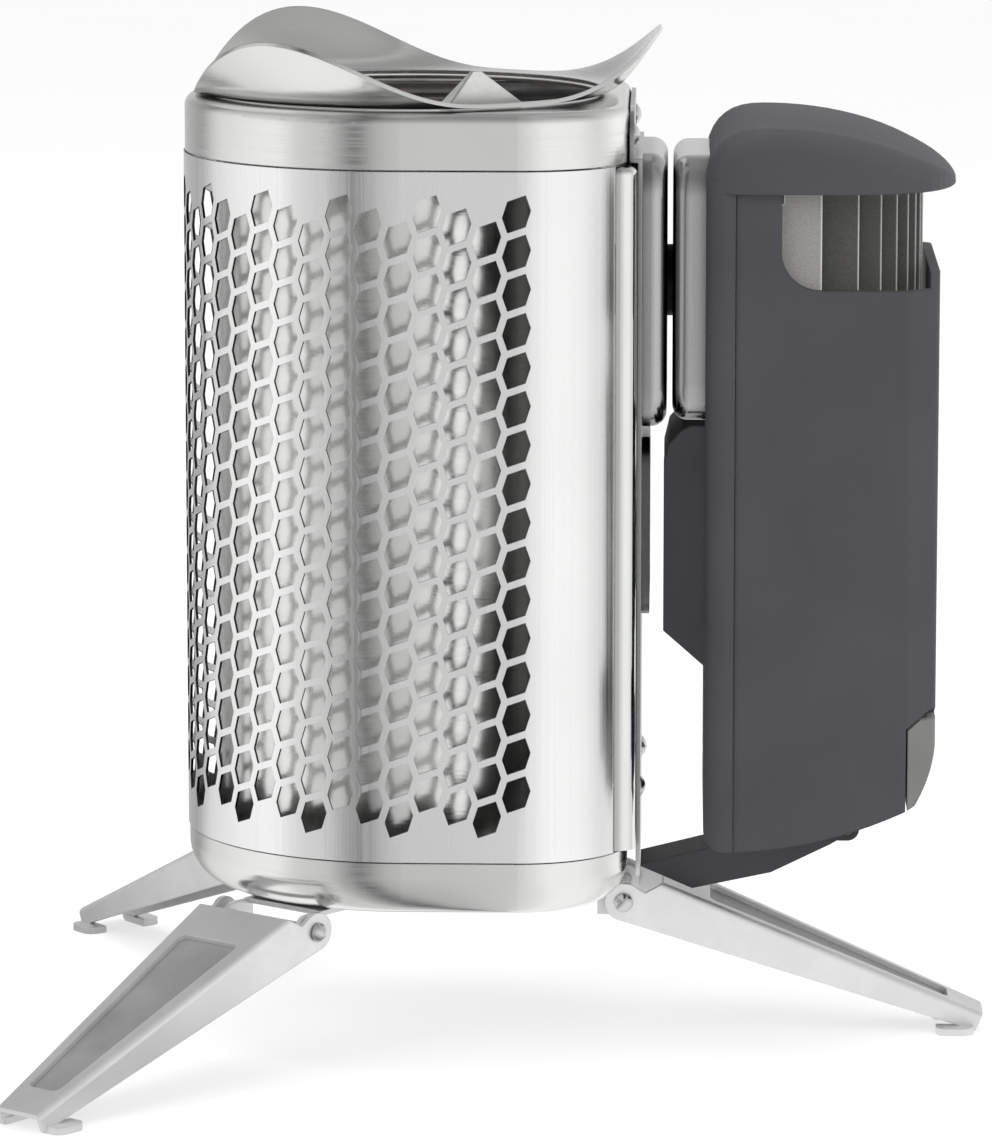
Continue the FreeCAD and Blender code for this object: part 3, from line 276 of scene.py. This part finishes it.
def lens_material(name):
    """Frosted clear plastic."""
    look = Look(name)
    clouds = look.noise((900, 900, 900), detail=2.0)
    look.set(
        base_color=look.mix(look.ramp(clouds, 0.0, 1.0), (0.75, 0.78, 0.76), (0.86, 0.88, 0.86)),
        roughness=look.ramp(clouds, 0.22, 0.34),
        transmission_weight=0.7,
        normal=look.bump(clouds, 0.2, 0.05),
    )
    return look.material


def even(scale):
    """Grain without a direction."""
    return (scale, scale, scale)


AROUND = (12, 12, 2600)
UPRIGHT = (1900, 1900, 9)


def make_materials():
    """Every slot's material, by the slot's name."""
    plain = {"anisotropic": 0.0}
    return {
        "bright_steel": steel("bright_steel", AROUND, roughness=0.17, spread=0.04, anisotropic=0.3),
        "satin_steel": steel("satin_steel", even(900), roughness=0.38, **plain),
        "brushed_steel": steel("brushed_steel", AROUND, roughness=0.19, anisotropic=0.6),
        "shell_steel": pierced_steel("shell_steel", UPRIGHT, (0.88, 0.88, 0.875), 0.24),
        "mirror_steel": steel("mirror_steel", UPRIGHT, roughness=0.10, spread=0.03, gap=6, **plain),
        "jacket_steel": steel("jacket_steel", AROUND, roughness=0.20, spread=0.04, anisotropic=0.3),
        "heat_tinted_steel": tinted_steel("heat_tinted_steel"),
        "plate_steel": steel("plate_steel", UPRIGHT, (0.66, 0.66, 0.66), 0.16, edge=0.4, gap=14, **plain),
        "rivet_steel": steel("rivet_steel", even(300), (0.62, 0.62, 0.62), 0.22, **plain),
        "leg_aluminium": leg_metal("leg_aluminium", 0.74, 0.82, 0.85),
        "leg_inlay": leg_metal("leg_inlay", 0.24, 0.33, 0.5),
        "charcoal_plastic": plastic("charcoal_plastic", (0.042, 0.041, 0.047), 0.62),
        "fin_aluminium": fin_metal("fin_aluminium"),
        "ceramic_white": plastic("ceramic_white", (0.8, 0.8, 0.77), 0.6, 1500.0),
        # Painted shade: the copper probe is coloured near-black, standing in for the shade it sits in.
        "probe_metal": steel("probe_metal", even(300), (0.05, 0.045, 0.04), 0.5, **plain),
        "motor_steel": steel("motor_steel", (1200, 40, 40), (0.6, 0.6, 0.6), 0.3, **plain),
        "black_plastic": plastic("black_plastic", (0.018, 0.018, 0.02), 0.5),
        "board_green": plastic("board_green", (0.02, 0.14, 0.05), 0.35, 900.0),
        "battery_wrap": plastic("battery_wrap", (0.03, 0.09, 0.28), 0.25, 300.0),
        "socket_steel": steel("socket_steel", even(500), (0.7, 0.7, 0.7), 0.2, **plain),
        "lens_clear": lens_material("lens_clear"),
        "screw_steel": steel("screw_steel", even(500), (0.10, 0.10, 0.105), 0.35, **plain),
        "grey_rubber": plastic("grey_rubber", (0.135, 0.135, 0.132), 0.72, 1900.0, 0.05, sheen=0.15),
    }


def dress_frame(materials):
    """Gives every CAD node the material of its slot."""
    for part in frame["record"]["subparts"]:
        node = frame["nodes"][part["node"]]
        node.data.materials.clear()
        node.data.materials.append(materials[part["material_slot"]])
        for face in node.data.polygons:
            face.material_index = 0
        # Rays that a glossy surface reflects pass the charcoal plastic by, at every pose and angle,
        # so metal does not mirror it. A real stove's would.
        node.visible_glossy = part["material_slot"] != "charcoal_plastic"


# ------------------------------------------------------------ studio


# Brightness that metal sees round the studio, by direction in degrees from +X:
# soft boxes with darker gaps between them.
STUDIO_TONES = (
    (0, 0.85), (35, 1.15), (90, 0.80), (125, 0.50), (142, 0.34), (160, 0.85), (190, 1.02), (203, 1.08),
    (216, 0.74), (229, 0.72), (237, 0.44), (244, 0.16), (256, 0.56), (268, 0.68), (280, 0.88), (300, 1.08),
    (330, 1.05), (360, 0.85),
)
# Metal sees the studio darker towards the ceiling, down to this share of its brightness, which it
# reaches where the upward part of the direction is CEILING_FROM.
CEILING_TONE = 0.45
CEILING_FROM = 0.8
# Share of the floor's look that is its own even glow, as on a lit table.
FLOOR_GLOW = 0.7
# Half the floor's width, in metres.
FLOOR_REACH = 12.0


def studio_tone(wiring, vector):
    """Colour by compass direction, from the soft boxes and gaps above."""
    across = wiring.split(vector)
    angle = wiring.maths("ARCTAN2", across["Y"], across["X"])
    turn = wiring.maths("FRACT", wiring.maths("DIVIDE", angle, 2 * math.pi))
    ramp = wiring.node("ShaderNodeValToRGB")
    ramp.color_ramp.interpolation = "EASE"
    stops = ramp.color_ramp.elements
    while len(stops) < len(STUDIO_TONES):
        stops.new(1.0)
    for stop, (degrees, tone) in zip(stops, STUDIO_TONES):
        stop.position = degrees / 360
        stop.color = (tone, tone, tone, 1)
    wiring.join(turn, ramp.inputs[0])
    return ramp.outputs["Color"]


def seen_by_metal(wiring):
    """One for rays that a bright surface reflects, nought for the rest."""
    return wiring.node("ShaderNodeLightPath").outputs["Is Glossy Ray"]


def floor():
    """Pale plane. Metal sees the studio's softer and darker sides in it."""
    far = FLOOR_REACH
    mesh = bpy.data.meshes.new("studio_floor")
    corners = [(-far, -far, 0), (far, -far, 0), (far, far, 0), (-far, far, 0)]
    mesh.from_pydata(corners, [], [(0, 1, 2, 3)])
    plane = bpy.data.objects.new("studio_floor", mesh)
    bpy.context.scene.collection.objects.link(plane)
    look = Look("studio_floor")
    speckle = look.noise((8, 8, 8), detail=4.0)
    look.set(
        base_color=look.mix(look.ramp(speckle, 0.0, 1.0), (0.93, 0.93, 0.93), (0.95, 0.95, 0.95)),
        roughness=0.9,
    )
    even_glow = look.node("ShaderNodeEmission")
    even_glow.inputs["Color"].default_value = (0.97, 0.97, 0.97, 1)
    toned_glow = look.node("ShaderNodeEmission")
    look.join(studio_tone(look, look.coords), toned_glow.inputs["Color"])
    plain = look.node("ShaderNodeMixShader")
    look.feed(FLOOR_GLOW, plain.inputs["Fac"])
    look.join(look.shader.outputs[0], plain.inputs[1])
    look.join(even_glow.outputs[0], plain.inputs[2])
    choose = look.node("ShaderNodeMixShader")
    look.join(seen_by_metal(look), choose.inputs["Fac"])
    look.join(plain.outputs[0], choose.inputs[1])
    look.join(toned_glow.outputs[0], choose.inputs[2])
    look.join(choose.outputs[0], look.tree.nodes["Material Output"].inputs["Surface"])
    mesh.materials.append(look.material)


def area_light(name, place, aim, size, power):
    data = bpy.data.lights.new(name, "AREA")
    data.shape = "RECTANGLE"
    data.size, data.size_y = size
    data.energy = power
    light = bpy.data.objects.new(name, data)
    light.location = place
    light.rotation_euler = (Vector(aim) - Vector(place)).to_track_quat("-Z", "Y").to_euler()
    light.visible_glossy = False
    bpy.context.scene.collection.objects.link(light)


def world():
    """White surroundings; metal sees the soft boxes and gaps."""
    surroundings = bpy.data.worlds.new("studio")
    bpy.context.scene.world = surroundings
    surroundings.use_nodes = True
    wiring = Wiring(surroundings.node_tree)
    direction = wiring.node("ShaderNodeTexCoord").outputs["Generated"]
    dimming = wiring.ramp(wiring.split(direction)["Z"], 1.0, CEILING_TONE, 0.0, CEILING_FROM)
    toned = wiring.node("ShaderNodeVectorMath", operation="SCALE")
    wiring.join(studio_tone(wiring, direction), toned.inputs[0])
    wiring.join(dimming, toned.inputs["Scale"])
    background = wiring.tree.nodes["Background"]
    colour = wiring.mix(seen_by_metal(wiring), (1, 1, 1), toned.outputs[0])
    wiring.join(colour, background.inputs["Color"])


def lights():
    area_light("key_left", (-1.1, -0.9, 1.0), (0, 0, 0.1), (0.9, 1.2), 14)
    area_light("fill_right", (1.2, -0.6, 0.7), (0.05, 0, 0.1), (0.6, 1.2), 8)
    area_light("top", (0.1, 0.2, 1.5), (0, 0, 0.1), (1.2, 1.2), 12)


# Where the camera stands, in metres and degrees, measured from the burn chamber's axis.
CAMERA_DISTANCE = 1.45553
CAMERA_HEIGHT = 0.34843
CAMERA_AZIMUTH = 2.397
CAMERA_YAW = -0.769
CAMERA_PITCH = 9.524
CAMERA_LENS = 205.37


def camera():
    data = bpy.data.cameras.new("camera")
    data.sensor_width = 36.0
    data.lens = CAMERA_LENS
    data.clip_start = 0.01
    data.clip_end = 50
    eye = bpy.data.objects.new("camera", data)
    azimuth = math.radians(CAMERA_AZIMUTH)
    along = CAMERA_DISTANCE * math.sin(azimuth)
    back = CAMERA_DISTANCE * math.cos(azimuth)
    eye.location = (CHAMBER_CENTRE.x + along, -back, CAMERA_HEIGHT)
    eye.rotation_euler = (math.radians(90 - CAMERA_PITCH), 0, math.radians(CAMERA_AZIMUTH + CAMERA_YAW))
    bpy.context.scene.collection.objects.link(eye)
    bpy.context.scene.camera = eye


dress_frame(make_materials())
floor()
world()
lights()
camera()
bpy.context.scene.view_settings.view_transform = "Standard"
